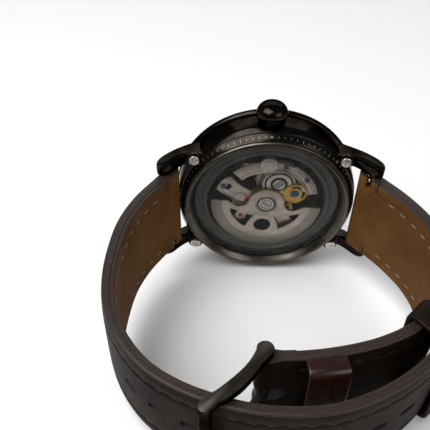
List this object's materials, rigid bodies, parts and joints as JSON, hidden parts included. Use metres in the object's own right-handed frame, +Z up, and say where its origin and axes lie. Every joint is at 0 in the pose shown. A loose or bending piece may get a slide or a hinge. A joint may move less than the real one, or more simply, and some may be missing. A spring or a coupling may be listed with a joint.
{
  "type": "skeleton wristwatch",
  "caption": "Self-winding skeleton wristwatch with an exhibition case back, on a buckled leather strap, lying on its 9 o'clock side.",
  "frame": {"origin": "centre of the bounding box's base, on the surface it lies on", "axes": "+X from 6 o'clock to 12 o'clock, +Y along the dial's normal away from the wrist (it leans up by 7.7 degrees), +Z up towards the crown at 3 o'clock"},
  "size_m": [0.0696, 0.0742, 0.0465],
  "materials": {
    "dark_steel": "dark plated steel, polished with brushed faces",
    "steel": "polished steel",
    "plates": "satin nickel plating",
    "brass": "polished gilt brass",
    "blued": "heat blued",
    "hands": "polished",
    "holder": "grey moulded plastic with turned rings",
    "dial": "matt black",
    "glass": "clear mineral glass",
    "leather": "glazed very dark brown, painted edges",
    "keeper": "glossy red-brown",
    "lining": "smooth tan"
  },
  "bodies": {
    "watch": {"case_middle": "dark_steel", "bezel": "dark_steel", "front_crystal": "glass", "flange_ring": "dark_steel", "case_back": "dark_steel", "window_ring": "steel", "case_back_crystal": "glass", "case_back_screw_1": "steel", "case_back_screw_2": "steel", "case_back_screw_3": "steel", "case_back_screw_4": "steel", "crown_tube": "steel", "movement_holder": "holder", "mainplate": "dark_steel", "barrel_bridge": "plates", "train_bridge": "plates", "balance_cock": "plates", "dial_ring": "dial", "bridge_screw_1": "blued", "bridge_screw_2": "blued", "bridge_screw_3": "blued", "bridge_screw_4": "blued", "bridge_screw_5": "blued", "hairspring": "blued", "rotor_bearing": "steel", "strap_long_leather": "leather", "strap_long_lining": "lining", "strap_short_leather": "leather", "strap_short_lining": "lining", "fixed_keeper": "keeper", "spring_bar_12": "steel", "spring_bar_6": "steel", "buckle_spring_bar": "steel"},
    "third_wheel": {"third_wheel": "brass"},
    "barrel": {"barrel": "brass", "mainspring": "steel"},
    "centre_wheel": {"centre_wheel": "brass", "cannon_pinion": "steel", "minute_hand": "hands"},
    "fourth_wheel": {"fourth_wheel": "brass", "seconds_hand": "blued"},
    "escape_wheel": {"escape_wheel": "steel"},
    "minute_wheel": {"minute_wheel": "brass"},
    "hour_wheel": {"hour_wheel": "brass", "hour_hand": "hands"},
    "pallet_fork": {"pallet_fork": "steel"},
    "balance": {"balance_wheel": "brass"},
    "ratchet_wheel": {"ratchet_wheel": "steel"},
    "crown_wheel": {"crown_wheel": "steel"},
    "click": {"click": "steel"},
    "stem_slide": {"setting_lever": "steel"},
    "crown": {"crown": "dark_steel", "winding_stem": "steel"},
    "rotor": {"rotor": "plates"},
    "reduction_wheel": {"reduction_wheel": "brass"},
    "free_keeper": {"free_keeper": "keeper"},
    "buckle_frame": {"buckle_frame": "dark_steel"},
    "buckle_tongue": {"buckle_tongue": "dark_steel"},
    "release_knob_12": {"release_knob_12": "steel"},
    "release_knob_6": {"release_knob_6": "steel"}
  },
  "joints": [
    {"name": "third_wheel_turn", "type": "hinge", "parent": "watch", "child": "third_wheel", "pos_m": [0.00171, 0.02909, 0.01766], "axis": [0, 0.991, 0.134], "continuous": true},
    {"name": "barrel_turn", "type": "hinge", "parent": "watch", "child": "barrel", "pos_m": [0.00152, 0.02788, 0.0266], "axis": [0, 0.991, 0.134], "continuous": true},
    {"name": "minute_hand_turn", "type": "hinge", "parent": "watch", "child": "centre_wheel", "pos_m": [-0.00112, 0.02863, 0.021], "axis": [0, 0.991, 0.134], "continuous": true},
    {"name": "seconds_hand_turn", "type": "hinge", "parent": "watch", "child": "fourth_wheel", "pos_m": [-0.00112, 0.02863, 0.021], "axis": [0, 0.991, 0.134], "continuous": true},
    {"name": "escape_wheel_turn", "type": "hinge", "parent": "watch", "child": "escape_wheel", "pos_m": [-0.00568, 0.02855, 0.0216], "axis": [0, 0.991, 0.134], "continuous": true},
    {"name": "minute_wheel_turn", "type": "hinge", "parent": "watch", "child": "minute_wheel", "pos_m": [0.00096, 0.02847, 0.02219], "axis": [0, 0.991, 0.134], "continuous": true},
    {"name": "hour_hand_turn", "type": "hinge", "parent": "watch", "child": "hour_wheel", "pos_m": [-0.00112, 0.02863, 0.021], "axis": [0, 0.991, 0.134], "continuous": true},
    {"name": "pallet_fork_rock", "type": "hinge", "parent": "watch", "child": "pallet_fork", "pos_m": [-0.00631, 0.02888, 0.01917], "axis": [0, 0.991, 0.134], "range_deg": [-5, 5]},
    {"name": "balance_swing", "type": "hinge", "parent": "watch", "child": "balance", "pos_m": [-0.00703, 0.02925, 0.01643], "axis": [0, 0.991, 0.134], "range_deg": [-270, 270], "stiffness_Nm_per_rad": 0.0000001},
    {"name": "ratchet_wheel_turn", "type": "hinge", "parent": "watch", "child": "ratchet_wheel", "pos_m": [0.00152, 0.02788, 0.0266], "axis": [0, 0.991, 0.134], "continuous": true},
    {"name": "crown_wheel_turn", "type": "hinge", "parent": "watch", "child": "crown_wheel", "pos_m": [-0.00112, 0.02715, 0.03199], "axis": [0, 0.991, 0.134], "continuous": true},
    {"name": "click_rock", "type": "hinge", "parent": "watch", "child": "click", "pos_m": [-0.00342, 0.02825, 0.02382], "axis": [0, 0.991, 0.134], "range_deg": [0, 8], "stiffness_Nm_per_rad": 0.000002, "springref_deg": -5.73},
    {"name": "crown_pull", "type": "slide", "parent": "watch", "child": "stem_slide", "axis": [0, -0.134, 0.991], "range_m": [0, 0.0012]},
    {"name": "crown_turn", "type": "hinge", "parent": "stem_slide", "child": "crown", "pos_m": [-0.00112, 0.02595, 0.04082], "axis": [0, -0.134, 0.991], "continuous": true},
    {"name": "rotor_spin", "type": "hinge", "parent": "watch", "child": "rotor", "pos_m": [-0.00112, 0.02863, 0.021], "axis": [0, 0.991, 0.134], "continuous": true},
    {"name": "reduction_wheel_turn", "type": "hinge", "parent": "watch", "child": "reduction_wheel", "pos_m": [0.00538, 0.02824, 0.02394], "axis": [0, 0.991, 0.134], "continuous": true},
    {"name": "free_keeper_slide", "type": "hinge", "parent": "watch", "child": "free_keeper", "pos_m": [0.01108, -0.00169, 0.0169], "axis": [0, -0.134, 0.991], "range_deg": [-1, 20]},
    {"name": "buckle_frame_swing", "type": "hinge", "parent": "watch", "child": "buckle_frame", "pos_m": [-0.00442, -0.02379, 0.01391], "axis": [0, -0.134, 0.991], "range_deg": [-1, 1]},
    {"name": "buckle_tongue_swing", "type": "hinge", "parent": "buckle_frame", "child": "buckle_tongue", "pos_m": [-0.00442, -0.02379, 0.01391], "axis": [0, -0.134, 0.991], "range_deg": [0, 1]},
    {"name": "release_knob_12_slide", "type": "slide", "parent": "watch", "child": "release_knob_12", "axis": [0, 0.134, -0.991], "range_m": [0, 0.0015], "stiffness_N_per_m": 500, "springref_m": -0.001},
    {"name": "release_knob_6_slide", "type": "slide", "parent": "watch", "child": "release_knob_6", "axis": [0, -0.134, 0.991], "range_m": [0, 0.0015], "stiffness_N_per_m": 500, "springref_m": -0.001}
  ],
  "couplings": [
    {"joint": "barrel_turn", "follows": "third_wheel_turn", "ratio": 0.020833},
    {"joint": "minute_hand_turn", "follows": "third_wheel_turn", "ratio": -0.125},
    {"joint": "minute_wheel_turn", "follows": "third_wheel_turn", "ratio": 0.041667},
    {"joint": "hour_hand_turn", "follows": "third_wheel_turn", "ratio": -0.010417},
    {"joint": "seconds_hand_turn", "follows": "third_wheel_turn", "ratio": -7.5},
    {"joint": "escape_wheel_turn", "follows": "third_wheel_turn", "ratio": 75},
    {"joint": "crown_wheel_turn", "follows": "crown_turn", "ratio": -0.5},
    {"joint": "ratchet_wheel_turn", "follows": "crown_turn", "ratio": 0.275},
    {"joint": "reduction_wheel_turn", "follows": "rotor_spin", "ratio": -1.5}
  ]
}
